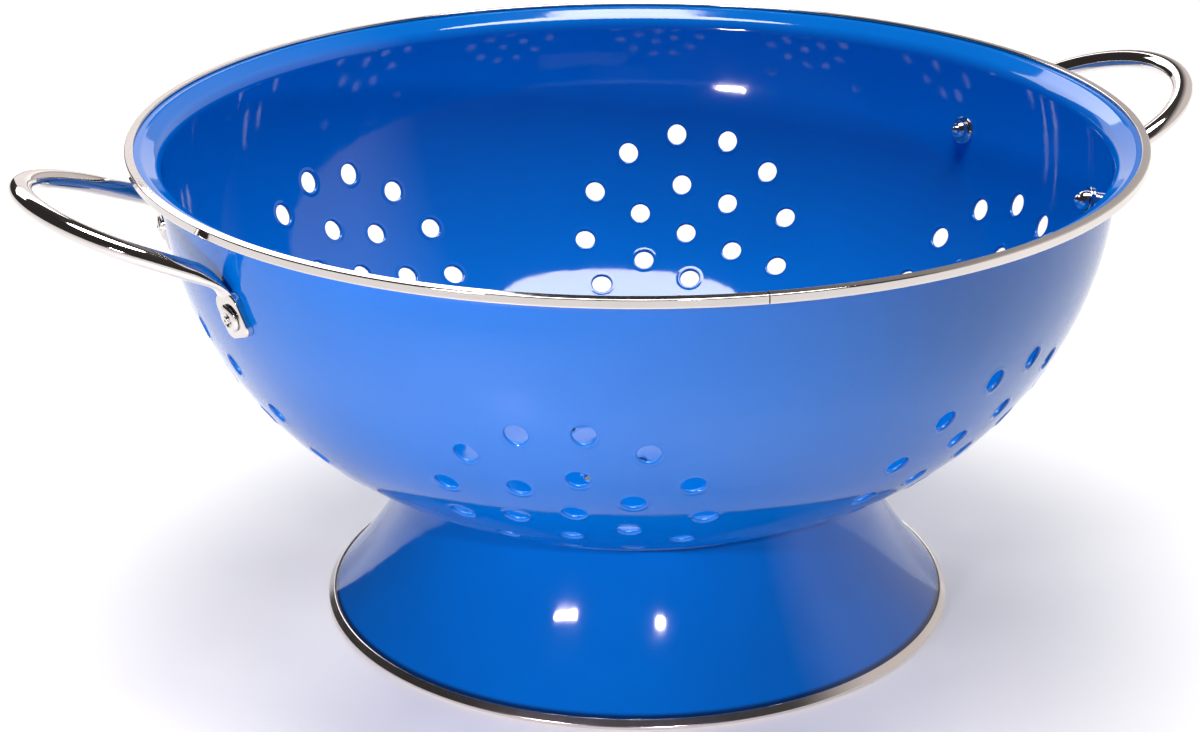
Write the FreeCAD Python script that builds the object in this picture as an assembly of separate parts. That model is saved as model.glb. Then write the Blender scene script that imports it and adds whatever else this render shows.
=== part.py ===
import FreeCAD, Part
import math
import os

# A footed colander: an enamelled steel bowl on a flared foot, with a polished strip folded over each
# edge and two rod handles held by blind rivets. Millimetres. Z is up, the foot stands on Z = 0, and
# the handles lie along X.

# Overall sizes
rim_diameter = 280.0            # across the rim, outside the trim
rim_height = 140.0              # top of the rim trim above the table
foot_diameter = 181.0           # across the foot, outside the trim

# Enamelled sheet of the bowl and the foot
sheet = 1.0

# Edge trims: thin strip folded into a U over the edge of the sheet
rim_trim_sheet = 0.6
rim_trim_play = 0.2             # room between the strip and the sheet, on each side
rim_trim_leg = 0.85             # straight part of the U, from its round end
foot_trim_sheet = 0.4
foot_trim_play = 0.1
foot_trim_leg = 1.8
foot_trim_flat = 0.06           # depth of the flat that the foot stands on

# Bowl: flat floor, one round arc, a short upright wall and a lip that flares out level
bowl_arc = 95.5                 # radius of the arc, on the outside of the sheet
wall_upright = 0.2
lip_flare = 5.5                 # radius of the flare, at mid sheet
lip_show = 1.5                  # level part of the lip between the flare and the trim

# Foot: a trumpet-shaped ring with a flange turned in against the underside of the bowl
foot_flare = 100.0              # radius of the hollow curve, at mid sheet
neck_diameter = 130.0           # where the foot meets the bowl, at mid sheet
flange_width = 7.0

# Drain holes: groups of one hole and two rings, punched square to the wall at the group's middle
hole_diameter = 6.0
inner_ring_radius = 16.4
outer_ring_radius = 32.4
inner_ring_holes = 6
outer_ring_holes = 12
group_count = 6                 # round the wall; one more is in the floor
group_polar = 49.8              # degrees along the arc, from the floor, to the middle of a group
group_turn = 20.5               # degrees that the rings are turned in a group

# Handles: bent rod of oval section
rod_width = 6.2                 # in the plane of the loop
rod_height = 5.2                # across the plane of the loop
loop_radius = 32.5              # at mid rod
loop_reach = 44.5               # from the ears to the tip of the loop, at mid rod
loop_rise = 21.6                # degrees that the loop slopes up from level

# Ears: ends of the rod, stamped flat and formed to the wall
ear_thickness = 2.0
ear_width = 11.5
ear_below = 5.8                 # from the rivet down to the ear's end
ear_above = 6.5                 # from the rivet up to where the plate ends under the rod
ear_corner = 3.5                # radius of the ear's corners
ear_slant = 20.0                # degrees that the ears spread apart downwards
bend_rise = 10.2                # from the rivet up to the corner of the bend
bend_outer = 6.5                # length of rod that is stamped into the bend
bend_inner = 5.4                # length of ear that is stamped into the bend
bend_end_width = 9.2            # section where the bend runs out into the ear
bend_end_height = 1.6
bend_steps = 5                  # sections that shape the bend, after the first

# Blind rivets: sleeve with a head outside and a bulb inside, the pin that set it, and a washer
rivet_drop = 25.9               # from the top of the rim down to the rivets
rivet_spacing = 76.1            # between the two rivets of a handle
sleeve_diameter = 4.0
rivet_play = 0.1                # room round the sleeve and round the pin
set_gap = 0.06                  # between the flat ends of the sleeve and the curved faces they press on
head_diameter = 7.6
head_edge = 0.4                 # height of the head's rim
head_height = 1.1
dish_diameter = 4.6             # dished middle of the head
dish_depth = 0.6
washer_diameter = 8.2
washer_thickness = 0.8
bulb_diameter = 6.0
bulb_length = 2.6
bulb_end_diameter = 3.8
pin_diameter = 2.2
pin_stub = 0.5                  # how far the broken pin stands out of the head
pin_chamfer = 0.15
pin_head_diameter = 3.0
pin_head_height = 1.1

# Worked out from the sizes above
Vec = FreeCAD.Vector
origin = Vec(0, 0, 0)
y_axis = Vec(0, 1, 0)
z_axis = Vec(0, 0, 1)
half_sheet = sheet / 2
rim_trim_half = half_sheet + rim_trim_play + rim_trim_sheet
foot_trim_half = half_sheet + foot_trim_play + foot_trim_sheet
lip_edge = rim_diameter / 2 - rim_trim_half
lip_height = rim_height - rim_trim_half
flare_end = lip_edge - rim_trim_leg - lip_show
flare_height = lip_height - lip_flare
wall_radius = flare_end - lip_flare + half_sheet
floor_radius = wall_radius - bowl_arc
arc_height = flare_height - wall_upright
floor_height = arc_height - bowl_arc
rivet_polar = math.degrees(math.acos((arc_height - rim_height + rivet_drop) / bowl_arc))
rivet_radius = floor_radius + bowl_arc * math.sin(math.radians(rivet_polar))
rivet_spread = math.degrees(math.asin(rivet_spacing / 2 / rivet_radius))


# Profiles, which lie in the XZ plane and are turned about Z

def spot(radius, height):
    return Vec(radius, 0, height)


def line(start, end):
    return Part.LineSegment(start, end).toShape()


def arc(centre, start, end):
    """The short arc from start to end about a centre."""
    radius = (start - centre).Length
    middle = (start - centre).normalize() + (end - centre).normalize()
    return Part.Arc(start, centre + middle.normalize() * radius, end).toShape()


def chain(points):
    """Straight edges from each point to the next."""
    return [line(start, end) for start, end in zip(points, points[1:])]


def turned(edges, angle=360.0):
    """The solid that a closed profile makes when it turns about Z."""
    return Part.Face(Part.Wire(edges)).revolve(origin, z_axis, angle)


def circle_crossing(centre_one, radius_one, centre_two, radius_two):
    """The crossing of two circles that lies on the left of the way from one to two."""
    way = centre_two - centre_one
    along = (radius_one ** 2 - radius_two ** 2 + way.Length ** 2) / (2 * way.Length)
    across = math.sqrt(radius_one ** 2 - along ** 2)
    way.normalize()
    return centre_one + way * along + Vec(-way.z, 0, way.x) * across


def cap_radius(half_width, height):
    """Radius of the circle whose cap has this half width and height."""
    return (half_width ** 2 + height ** 2) / (2 * height)


# Places on the wall

arc_centre = spot(floor_radius, arc_height)


def on_bowl_arc(radius, polar):
    """The point of a curve parallel to the bowl's arc, at an angle from straight down."""
    angle = math.radians(polar)
    return arc_centre + Vec(math.sin(angle), 0, -math.cos(angle)) * radius


def wall_place(azimuth, polar):
    """A place on the outside of the wall: X round the bowl, Y up the wall, Z straight out of it."""
    turn = math.radians(azimuth)
    slope = math.radians(polar)
    outward = Vec(math.cos(turn), math.sin(turn), 0)
    side = Vec(-math.sin(turn), math.cos(turn), 0)
    up = outward * math.cos(slope) + z_axis * math.sin(slope)
    out = outward * math.sin(slope) - z_axis * math.cos(slope)
    point = on_bowl_arc(bowl_arc, polar)
    base = outward * point.x + z_axis * point.z
    return FreeCAD.Placement(base, FreeCAD.Rotation(side, up, out, "ZXY"))


def wall_patch(inner_arc, outer_arc, azimuth, reach):
    """A patch of the wall's shape round a rivet, between two parallel arcs."""
    polar_reach = math.degrees(reach / bowl_arc)
    turn_reach = math.degrees(reach / on_bowl_arc(bowl_arc, rivet_polar).x)
    low_in = on_bowl_arc(inner_arc, rivet_polar - polar_reach)
    low_out = on_bowl_arc(outer_arc, rivet_polar - polar_reach)
    high_in = on_bowl_arc(inner_arc, rivet_polar + polar_reach)
    high_out = on_bowl_arc(outer_arc, rivet_polar + polar_reach)
    patch = turned([
        line(low_in, low_out),
        arc(arc_centre, low_out, high_out),
        line(high_out, high_in),
        arc(arc_centre, high_in, low_in),
    ], 2 * turn_reach)
    patch.rotate(origin, z_axis, azimuth - turn_reach)
    return patch


def placed(shape, place):
    moved = shape.copy()
    moved.Placement = place.multiply(moved.Placement)
    return moved


rivet_azimuths = {
    "right_back": rivet_spread,
    "right_front": -rivet_spread,
    "left_front": 180.0 + rivet_spread,
    "left_back": 180.0 - rivet_spread,
}
rivet_places = {name: wall_place(azimuth, rivet_polar) for name, azimuth in rivet_azimuths.items()}


# Holes

def hole_group(depth):
    """Punches for one group of drain holes, on the XY plane."""
    spots = [Vec(0, 0, -depth)]
    for radius, count in ((inner_ring_radius, inner_ring_holes), (outer_ring_radius, outer_ring_holes)):
        for index in range(count):
            angle = math.radians(group_turn + index * 360.0 / count)
            spots.append(Vec(radius * math.cos(angle), radius * math.sin(angle), -depth))
    return Part.makeCompound([Part.makeCylinder(hole_diameter / 2, 2 * depth, place) for place in spots])


def drain_punches():
    """Punches for the groups round the wall and the one in the floor, deep enough for the wall's curve."""
    punches = hole_group(sheet + (outer_ring_radius + hole_diameter) ** 2 / bowl_arc)
    groups = [placed(punches, FreeCAD.Placement(spot(0, floor_height), FreeCAD.Rotation()))]
    for index in range(group_count):
        groups.append(placed(punches, wall_place(index * 360.0 / group_count, group_polar)))
    return groups


def rivet_punch(place):
    """The hole that a rivet's sleeve goes through, square to the wall."""
    depth = 2 * (sheet + ear_thickness + washer_thickness)
    return placed(Part.makeCylinder(sleeve_diameter / 2 + rivet_play, 2 * depth, Vec(0, 0, -depth)), place)


# Bowl

def bowl():
    flare_centre = spot(flare_end, flare_height)
    floor_under = spot(floor_radius, floor_height)
    floor_over = spot(floor_radius, floor_height + sheet)
    wall_out = spot(wall_radius, arc_height)
    wall_in = spot(wall_radius - sheet, arc_height)
    flare_out = spot(wall_radius, flare_height)
    flare_in = spot(wall_radius - sheet, flare_height)
    level_under = spot(flare_end, lip_height - half_sheet)
    level_over = spot(flare_end, lip_height + half_sheet)
    edge_under = spot(lip_edge, lip_height - half_sheet)
    edge_over = spot(lip_edge, lip_height + half_sheet)
    shell = turned([
        line(spot(0, floor_height), floor_under),
        arc(arc_centre, floor_under, wall_out),
        line(wall_out, flare_out),
        arc(flare_centre, flare_out, level_under),
        *chain([level_under, edge_under, edge_over, level_over]),
        arc(flare_centre, level_over, flare_in),
        line(flare_in, wall_in),
        arc(arc_centre, wall_in, floor_over),
        *chain([floor_over, spot(0, floor_height + sheet), spot(0, floor_height)]),
    ])
    for group in drain_punches():
        shell = shell.cut(group)
    return shell.cut([rivet_punch(place) for place in rivet_places.values()]).Solids[0]


# Trims

def folded_strip(end, way, leg, thickness, outer_half):
    """Section of a strip folded over an edge: end is the middle of its round end, way runs up the sheet."""
    across = Vec(way.z, 0, -way.x)
    inner_half = outer_half - thickness
    tip = end + way * leg
    outside = end - way * outer_half
    inside = end - way * inner_half
    return [
        line(tip + across * outer_half, end + across * outer_half),
        Part.Arc(end + across * outer_half, outside, end - across * outer_half).toShape(),
        *chain([end - across * outer_half, tip - across * outer_half,
                tip - across * inner_half, end - across * inner_half]),
        Part.Arc(end - across * inner_half, inside, end + across * inner_half).toShape(),
        *chain([end + across * inner_half, tip + across * inner_half, tip + across * outer_half]),
    ]


def rim_trim():
    end = spot(lip_edge, lip_height)
    return turned(folded_strip(end, Vec(-1, 0, 0), rim_trim_leg, rim_trim_sheet, rim_trim_half))


# Foot: its hollow curve runs from the trimmed edge to the neck, at mid sheet

foot_edge = spot(foot_diameter / 2 - foot_trim_half, foot_trim_half - foot_trim_flat)
flange_arc = bowl_arc + half_sheet
neck_polar = math.degrees(math.asin((neck_diameter / 2 - floor_radius) / flange_arc))
foot_chord = on_bowl_arc(flange_arc, neck_polar) - foot_edge
foot_side = Vec(foot_chord.z, 0, -foot_chord.x).normalize()
foot_hollow = math.sqrt(foot_flare ** 2 - (foot_chord.Length / 2) ** 2)
foot_centre = foot_edge + foot_chord * 0.5 + foot_side * foot_hollow
foot_out = (foot_centre - foot_edge).normalize()


def foot():
    edge_out = foot_edge + foot_out * half_sheet
    edge_in = foot_edge - foot_out * half_sheet
    corner_out = circle_crossing(foot_centre, foot_flare - half_sheet, arc_centre, bowl_arc)
    corner_in = circle_crossing(foot_centre, foot_flare + half_sheet, arc_centre, bowl_arc + sheet)
    flange_polar = neck_polar - math.degrees(flange_width / flange_arc)
    flange_over = on_bowl_arc(bowl_arc, flange_polar)
    flange_under = on_bowl_arc(bowl_arc + sheet, flange_polar)
    return turned([
        line(edge_in, edge_out),
        arc(foot_centre, edge_out, corner_out),
        arc(arc_centre, corner_out, flange_over),
        line(flange_over, flange_under),
        arc(arc_centre, flange_under, corner_in),
        arc(foot_centre, corner_in, edge_in),
    ])


def foot_trim():
    up_the_sheet = Vec(-foot_out.z, 0, foot_out.x)
    strip = turned(folded_strip(foot_edge, up_the_sheet, foot_trim_leg, foot_trim_sheet, foot_trim_half))
    table = Part.makeCylinder(foot_diameter, foot_diameter, Vec(0, 0, -foot_diameter))
    return strip.cut(table).Solids[0]


# Handles

def oval(middle, wide, high, width, height):
    """An oval wire about a point, along two axes."""
    side = middle + wide * (width / 2)
    top = middle + high * (height / 2)
    return Part.Wire(Part.Ellipse(side, top, middle).toShape())


def ear_outline():
    """A plate about the rivet, on the XY plane, with round corners."""
    lower = (-ear_below, 1)
    upper = (ear_above, -1)
    corners = []
    for side, (end, inward) in ((1, lower), (1, upper), (-1, upper), (-1, lower)):
        tip = Vec(side * ear_width / 2, end, 0)
        along = Vec(0, inward * ear_corner, 0)
        across = Vec(-side * ear_corner, 0, 0)
        ends = [tip + across, tip + along] if side * inward > 0 else [tip + along, tip + across]
        corners.append((tip + along + across, ends))
    edges = []
    for index, (centre, ends) in enumerate(corners):
        next_ends = corners[(index + 1) % len(corners)][1]
        edges.append(arc(centre, ends[0], ends[1]))
        edges.append(line(ends[1], next_ends[0]))
    return edges


def ear():
    """The flat front end of the right rod: a leaning plate of the wall's shape."""
    depth = 2 * ear_thickness
    prism = Part.Face(Part.Wire(ear_outline())).extrude(Vec(0, 0, 2 * depth))
    prism.translate(Vec(0, 0, -depth))
    prism.rotate(origin, z_axis, -ear_slant)
    reach = ear_width + ear_above + ear_below
    patch = wall_patch(bowl_arc, bowl_arc + ear_thickness, rivet_azimuths["right_front"], reach)
    return patch.common(placed(prism, rivet_places["right_front"]))


def stamped_bend(start, corner, end, wide_start, wide_end):
    """The rod's end, flattened as it turns down: sections along a curve that leaves start for corner and
    comes into end from corner."""
    sections = []
    for step in range(bend_steps + 1):
        t = step / bend_steps
        share = t * t * (3 - 2 * t)
        middle = start * (1 - t) ** 2 + corner * (2 * t * (1 - t)) + end * t ** 2
        way = ((corner - start) * (1 - t) + (end - corner) * t).normalize()
        wide = wide_start * (1 - t) + wide_end * t
        wide = (wide - way * wide.dot(way)).normalize()
        width = rod_width + (bend_end_width - rod_width) * share
        height = rod_height + (bend_end_height - rod_height) * share
        sections.append(oval(middle, wide, way.cross(wide), width, height))
    return Part.makeLoft(sections, True, False)


def front_half():
    """From the tip of the right handle's loop to its front ear: round, leg, bend and ear."""
    rise = math.radians(loop_rise)
    outward = Vec(math.cos(rise), 0, math.sin(rise))
    across = Vec(-math.sin(rise), 0, math.cos(rise))
    place = rivet_places["right_front"]
    slant = math.radians(ear_slant)
    ear_up = place.Rotation.multVec(Vec(math.sin(slant), math.cos(slant), 0))
    ear_side = place.Rotation.multVec(Vec(math.cos(slant), -math.sin(slant), 0))
    ear_out = place.Rotation.multVec(z_axis)
    corner = place.Base + ear_out * (ear_thickness / 2) + ear_up * bend_rise

    # The leg is the tangent from the corner of the bend to the loop's circle
    loop_middle = Vec(corner.x, 0, corner.z) + outward * (loop_reach - loop_radius)
    to_middle = loop_middle - corner
    swing = math.degrees(math.asin(loop_radius / to_middle.Length))
    leg_way = FreeCAD.Rotation(across, -swing).multVec(to_middle).normalize()
    leg_side = across.cross(leg_way)
    leg_end = corner + leg_way * math.sqrt(to_middle.Length ** 2 - loop_radius ** 2)
    leg_start = corner + leg_way * bend_outer

    leg = Part.Face(oval(leg_start, leg_side, across, rod_width, rod_height)).extrude(leg_end - leg_start)
    round_section = Part.Face(oval(leg_end, leg_side, across, rod_width, rod_height))
    round_angle = math.degrees((leg_end - loop_middle).getAngle(outward))
    round_end = round_section.revolve(loop_middle, across, round_angle)
    bend = stamped_bend(leg_start, corner, corner - ear_up * bend_inner, leg_side, ear_side)
    return [round_end, leg, bend, ear()]


def right_handle():
    front = front_half()
    back = [piece.mirror(origin, y_axis) for piece in front]
    rod = front[0].fuse(front[1:] + back).removeSplitter()
    punches = [rivet_punch(rivet_places["right_back"]), rivet_punch(rivet_places["right_front"])]
    return rod.cut(punches).Solids[0]


def left_handle():
    rod = right_handle()
    rod.rotate(origin, z_axis, 180.0)
    return rod


# Rivets, on their own axis: the wall's outside is at zero, the ear above it, the washer below the sheet

head_seat = ear_thickness + set_gap
head_top = head_seat + head_height
bulb_seat = -(sheet + washer_thickness + set_gap)
bulb_end = bulb_seat - bulb_length


def rivet(place):
    """The sleeve: a dished head outside the ear, and a round bulb inside the washer."""
    bore = pin_diameter / 2 + rivet_play
    body = sleeve_diameter / 2
    head = head_diameter / 2
    dish = dish_diameter / 2
    bulb = bulb_diameter / 2
    bulb_tip = bulb_end_diameter / 2
    crest = spot(dish, head_top)
    rim = spot(head, head_seat + head_edge)
    crest_centre = spot(dish, head_top - cap_radius(head - dish, head_height - head_edge))
    bulb_foot = spot(bulb, bulb_seat)
    bulb_top = spot(bulb_tip, bulb_end)
    bulb_centre = spot(bulb - cap_radius(bulb_length, bulb - bulb_tip), bulb_seat)
    sleeve = turned([
        line(spot(bore, head_top - dish_depth), crest),
        arc(crest_centre, crest, rim),
        *chain([rim, spot(head, head_seat), spot(body, head_seat), spot(body, bulb_seat), bulb_foot]),
        arc(bulb_centre, bulb_foot, bulb_top),
        *chain([bulb_top, spot(bore, bulb_end), spot(bore, head_top - dish_depth)]),
    ])
    return placed(sleeve, place)


def mandrel(place):
    """The pin left in the sleeve: a broken stub outside, a low dome inside."""
    radius = pin_diameter / 2
    head = pin_head_diameter / 2
    stub_top = head_top + pin_stub
    dome_rim = spot(head, bulb_end)
    dome_tip = spot(0, bulb_end - pin_head_height)
    dome_centre = spot(0, bulb_end - pin_head_height + cap_radius(head, pin_head_height))
    pin = turned([
        *chain([dome_tip, spot(0, stub_top), spot(radius - pin_chamfer, stub_top),
                spot(radius, stub_top - pin_chamfer), spot(radius, bulb_end), dome_rim]),
        arc(dome_centre, dome_rim, dome_tip),
    ])
    return placed(pin, place)


def washer(name):
    """A round washer, pressed to the curve of the wall."""
    place = rivet_places[name]
    inside_arc = bowl_arc - sheet
    depth = 2 * (sheet + washer_thickness)
    disc = Part.makeCylinder(washer_diameter / 2, 2 * depth, Vec(0, 0, -depth))
    patch = wall_patch(inside_arc - washer_thickness, inside_arc, rivet_azimuths[name], washer_diameter)
    return patch.common(placed(disc, place)).cut(rivet_punch(place)).Solids[0]


# All the pieces, by name

pieces = {
    "bowl": bowl(),
    "rim_trim": rim_trim(),
    "foot": foot(),
    "foot_trim": foot_trim(),
    "right_handle": right_handle(),
    "left_handle": left_handle(),
}
for name, place in rivet_places.items():
    pieces[name + "_rivet"] = rivet(place)
    pieces[name + "_mandrel"] = mandrel(place)
    pieces[name + "_washer"] = washer(name)

os.makedirs("parts", exist_ok=True)
for name, shape in pieces.items():
    shape.exportStep("parts/" + name + ".step")
    print(name, "valid" if shape.isValid() else "not valid", "volume", round(shape.Volume, 2))
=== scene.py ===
import math
import bpy
import numpy as np
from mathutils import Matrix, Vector, geometry


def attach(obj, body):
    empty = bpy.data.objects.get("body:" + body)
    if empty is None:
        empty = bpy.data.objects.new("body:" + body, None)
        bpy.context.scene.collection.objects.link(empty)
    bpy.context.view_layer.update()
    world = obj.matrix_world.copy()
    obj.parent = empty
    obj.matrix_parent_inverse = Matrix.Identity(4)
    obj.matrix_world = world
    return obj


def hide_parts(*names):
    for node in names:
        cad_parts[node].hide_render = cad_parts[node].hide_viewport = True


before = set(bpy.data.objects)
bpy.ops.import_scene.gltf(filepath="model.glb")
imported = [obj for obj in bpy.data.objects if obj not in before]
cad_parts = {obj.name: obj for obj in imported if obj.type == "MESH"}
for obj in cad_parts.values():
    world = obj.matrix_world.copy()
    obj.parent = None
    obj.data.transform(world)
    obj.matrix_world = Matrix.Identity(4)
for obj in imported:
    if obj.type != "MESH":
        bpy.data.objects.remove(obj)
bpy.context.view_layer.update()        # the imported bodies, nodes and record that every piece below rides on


# Bowl
# One deep-drawn steel sheet, punched in groups of drain holes, then dipped and fired in blue enamel.
# The enamel rounds every hole's edge, stands up a little round it and sags at its lower side.

MM = 0.001                         # the object's sizes are millimetres, and become metres in its meshes
sheet = 1.0
half_sheet = sheet / 2
rim_trim_half = 1.3                # half the height of the strip on the rim
rim_radius = 140.0
rim_height = 140.0
bowl_arc = 95.5                    # the wall's arc, on the outside of the sheet
arc_mid = bowl_arc - half_sheet
wall_upright = 0.2
lip_flare = 5.5                    # how far the wall turns out before the lip, and up to the lip's edge
slope_turn = math.radians(59)      # the turn of the lower bend; a straight slope runs from it to the upper
upper_bend = 2.0
lip_turn = math.radians(86)        # the lip stands a little short of level, higher at its edge
lip_edge = rim_radius - rim_trim_half
lip_length = 2.35                  # the lip itself, with the part that is inside the trim
lip_height = rim_height - rim_trim_half
arc_height = lip_height - lip_flare - wall_upright
floor_radius = lip_edge - lip_length - lip_flare - arc_mid
floor_mid = arc_height - arc_mid
arc_end = floor_radius + arc_mid * math.pi / 2
slope_out, slope_up = math.sin(slope_turn), math.cos(slope_turn)
lip_out, lip_up = math.sin(lip_turn), math.cos(lip_turn)
lower_bend, slope_length = np.linalg.solve(
    [[1 - slope_up, slope_out], [slope_out, slope_up]],
    [lip_flare - upper_bend * (slope_up - lip_up),
     lip_flare - upper_bend * (lip_out - slope_out) - lip_length * lip_up])
flare_start = arc_end + wall_upright
slope_start = flare_start + lower_bend * slope_turn
slope_end = slope_start + slope_length
lip_start = slope_end + upper_bend * (lip_turn - slope_turn)


def bowl_profile(distance):
    """Radius, height and slope of the sheet's middle, at a distance along it from the bowl's axis."""
    distance = np.asarray(distance, float)
    on_arc = np.clip((distance - floor_radius) / arc_mid, 0, math.pi / 2)
    on_upright = np.clip(distance - arc_end, 0, wall_upright)
    on_lower = np.clip((distance - flare_start) / lower_bend, 0, slope_turn)
    on_slope = np.clip(distance - slope_start, 0, slope_length)
    on_upper = np.clip((distance - slope_end) / upper_bend, 0, lip_turn - slope_turn)
    on_lip = np.clip(distance - lip_start, 0, None)
    upper_turn = slope_turn + on_upper
    radius = np.minimum(distance, floor_radius) + arc_mid * np.sin(on_arc)
    radius = radius + lower_bend * (1 - np.cos(on_lower)) + on_slope * slope_out
    radius = radius + upper_bend * (slope_up - np.cos(upper_turn)) + on_lip * lip_out
    height = floor_mid + arc_mid * (1 - np.cos(on_arc)) + on_upright
    height = height + lower_bend * np.sin(on_lower) + on_slope * slope_up
    height = height + upper_bend * (np.sin(upper_turn) - slope_out) + on_lip * lip_up
    return radius, height, on_arc - on_lower - on_upper


def on_bowl(distance, azimuth):
    """Points on the sheet's middle, and the ways that point out of the bowl there."""
    radius, height, slope = bowl_profile(distance)
    middle = np.stack([radius * np.cos(azimuth), radius * np.sin(azimuth), height], axis=-1)
    lean = np.sin(slope)
    out = np.stack([lean * np.cos(azimuth), lean * np.sin(azimuth), -np.cos(slope)], axis=-1)
    return middle, out


def wall_axes(azimuth, polar):
    """A place on the outside of the wall's arc: its point, and the ways round, up and out."""
    outward = np.array([math.cos(azimuth), math.sin(azimuth), 0.0])
    side = np.array([-math.sin(azimuth), math.cos(azimuth), 0.0])
    upward = np.array([0.0, 0.0, 1.0])
    up = outward * math.cos(polar) + upward * math.sin(polar)
    out = outward * math.sin(polar) - upward * math.cos(polar)
    point = outward * floor_radius + upward * arc_height + out * bowl_arc
    return point, side, up, out


def slide_to_arc(points, way):
    """Slide points along a way on to the wall's arc; give their distance along the sheet and azimuth."""
    slides = 6
    for _ in range(slides):
        radius = np.hypot(points[..., 0], points[..., 1])
        across = radius - floor_radius
        above = points[..., 2] - arc_height
        reach = np.hypot(across, above)
        fall = np.stack([across * points[..., 0] / radius, across * points[..., 1] / radius, above], axis=-1)
        slant = (fall @ way) / reach
        points = points - way * ((reach - arc_mid) / slant)[..., None]
    polar = np.arctan2(across, -above)
    return floor_radius + arc_mid * polar, np.arctan2(points[..., 1], points[..., 0])


# Where the holes are: groups of one hole and two rings, six round the wall and one in the floor
hole_radius = 3.0
rivet_hole_radius = 2.1
ring_radii = (16.4, 32.4)
ring_counts = (6, 12)
group_count = 6
group_polar = math.radians(49.8)
group_turn = math.radians(20.5)
rivet_height = 114.1
rivet_polar = math.acos((arc_height - rivet_height) / bowl_arc)
rivet_spacing = 76.1
rivet_radius = floor_radius + bowl_arc * math.sin(rivet_polar)
rivet_spread = math.asin(rivet_spacing / 2 / rivet_radius)
rivet_azimuths = {
    "right_back": rivet_spread,
    "right_front": -rivet_spread,
    "left_front": math.pi + rivet_spread,
    "left_back": math.pi - rivet_spread,
}

group_spots = [(0.0, 0.0)]
for ring_radius, ring_count in zip(ring_radii, ring_counts):
    for number in range(ring_count):
        spot_angle = group_turn + number * 2 * math.pi / ring_count
        group_spots.append((ring_radius * math.cos(spot_angle), ring_radius * math.sin(spot_angle)))

# Enamel at a hole: a rounded edge, and a bead that fades out over its width
bead_width = 1.1
bead_height = 0.10
bead_sag = 1.6                     # how much thicker the bead is at the lowest point of a hole outside
bead_sag_focus = 4                 # how closely the thicker part keeps to that lowest point
bead_edge = 0.5                    # from the hole's edge to the top of the bead
hole_sides = 32
round_steps = 4
bead_steps = (1.0, 0.62, 0.3)      # shares of the bead's width, from its outer edge inwards
round_angles = [math.pi / 2 * (1 - step / round_steps) for step in range(round_steps + 1)]
hole_turns = np.arange(hole_sides) * 2 * math.pi / hole_sides


def hole_rings(place, spot, radius, bead, sag, flat):
    """Rings of points from the sheet outside a hole, over its rounded edge, to the sheet inside."""
    point, side, up, out = place
    cosine, sine = np.cos(hole_turns), np.sin(hole_turns)
    lower = np.maximum(-sine, 0) ** bead_sag_focus
    whole = np.ones(hole_sides)
    rings = []

    def ring(past_edge, face, lift, lean):
        reach = radius + past_edge
        across = side * (spot[0] + reach * cosine)[:, None]
        upward = up * (spot[1] + reach * sine)[:, None]
        flat_points = point + across + upward
        if flat:
            distance = np.hypot(flat_points[:, 0], flat_points[:, 1])
            azimuth = np.arctan2(flat_points[:, 1], flat_points[:, 0])
        else:
            distance, azimuth = slide_to_arc(flat_points, out)
        middle, way = on_bowl(distance, azimuth)
        inward = -(side * cosine[:, None] + up * sine[:, None])
        inward = inward - way * (inward * way).sum(axis=1)[:, None]
        normal = way * face[:, None] + inward * lean[:, None]
        rings.append((distance, azimuth, middle + way * lift[:, None], normal))

    for face, amount in ((1.0, bead * (1 + sag * lower)), (-1.0, bead * whole)):
        face_rings = []
        for share in bead_steps:
            height = half_sheet + amount * (1 + math.cos(math.pi * share)) / 2
            slope = amount * math.pi / 2 / bead_width * math.sin(math.pi * share)
            face_rings.append((bead_edge + bead_width * share, face * whole, face * height, -slope))
        for angle in round_angles:
            height = (half_sheet + amount) * math.sin(angle)
            past_edge = bead_edge * (1 - math.cos(angle))
            face_share = face * math.sin(angle) * whole
            face_rings.append((past_edge, face_share, face * height, math.cos(angle) * whole))
        if face < 0:
            face_rings = face_rings[-2::-1]
        for past_edge, face_share, lift, lean in face_rings:
            ring(past_edge, face_share, lift, lean)
    return rings


floor_axes = (np.array([1.0, 0, 0]), np.array([0, 1.0, 0]), np.array([0, 0, -1.0]))
floor_place = (np.array([0.0, 0.0, floor_mid]), *floor_axes)
holes = [hole_rings(floor_place, spot, hole_radius, bead_height, 0.0, True) for spot in group_spots]
for number in range(group_count):
    group_place = wall_axes(number * 2 * math.pi / group_count, group_polar)
    for spot in group_spots:
        holes.append(hole_rings(group_place, spot, hole_radius, bead_height, bead_sag, False))
for rivet_azimuth in rivet_azimuths.values():
    rivet_place = wall_axes(rivet_azimuth, rivet_polar)
    holes.append(hole_rings(rivet_place, (0.0, 0.0), rivet_hole_radius, 0.0, 0.0, False))

# The sheet between the holes is one flat plan of distance and azimuth, cut into triangles
wall_step = 2.8
hole_clearance = 0.45 * wall_step  # points of the plan that are nearer to a hole are left out
merge_distance = 1e-7
rim_sides = 384
hole_middles = np.array([rings[0][2].mean(axis=0) for rings in holes])
hole_reaches = []
for rings, hole_middle in zip(holes, hole_middles):
    hole_reaches.append(np.linalg.norm(rings[0][2] - hole_middle, axis=1).max())
hole_reaches = np.array(hole_reaches)


def plan_spot(distance, azimuth):
    return np.stack([distance * np.cos(azimuth), distance * np.sin(azimuth)], axis=-1)


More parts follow.
